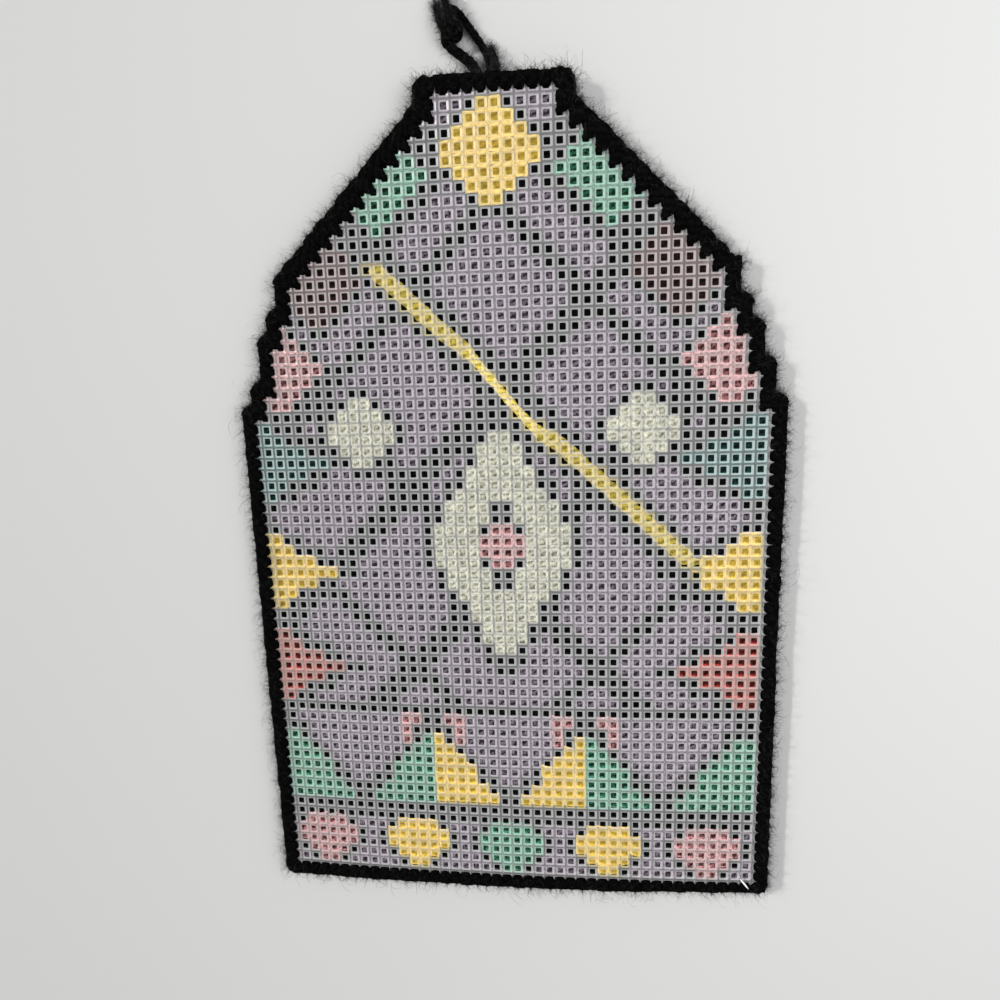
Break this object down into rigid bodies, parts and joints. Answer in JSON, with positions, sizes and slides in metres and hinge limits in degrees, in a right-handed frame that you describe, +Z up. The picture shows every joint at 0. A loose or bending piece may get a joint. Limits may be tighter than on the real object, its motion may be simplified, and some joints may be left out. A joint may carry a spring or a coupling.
{
  "type": "needlepoint canvas panel",
  "caption": "Stepped arch panel of plastic canvas sheets whipped together round the edge with yarn, one sheet worked in needlepoint, with a yarn hanging loop.",
  "frame": {"origin": "on the surface the panel lies on, under the middle of the panel's outline without its loop", "axes": "+Z up out of the plain canvas, +Y along the panel's height towards the hanging loop, +X to the right seen from above"},
  "size_m": [0.1756, 0.2963, 0.0083],
  "materials": {
    "worked_canvas": "worsted yarn tent stitch in several colours on clear plastic canvas",
    "plain_canvas": "clear, slightly milky moulded plastic mesh",
    "black_yarn": "black fuzzy worsted yarn"
  },
  "bodies": {
    "root": {"worked_canvas": "worked_canvas", "plain_canvas": "plain_canvas", "yarn_edging": "black_yarn", "hanging_loop": "black_yarn"}
  },
  "joints": []
}
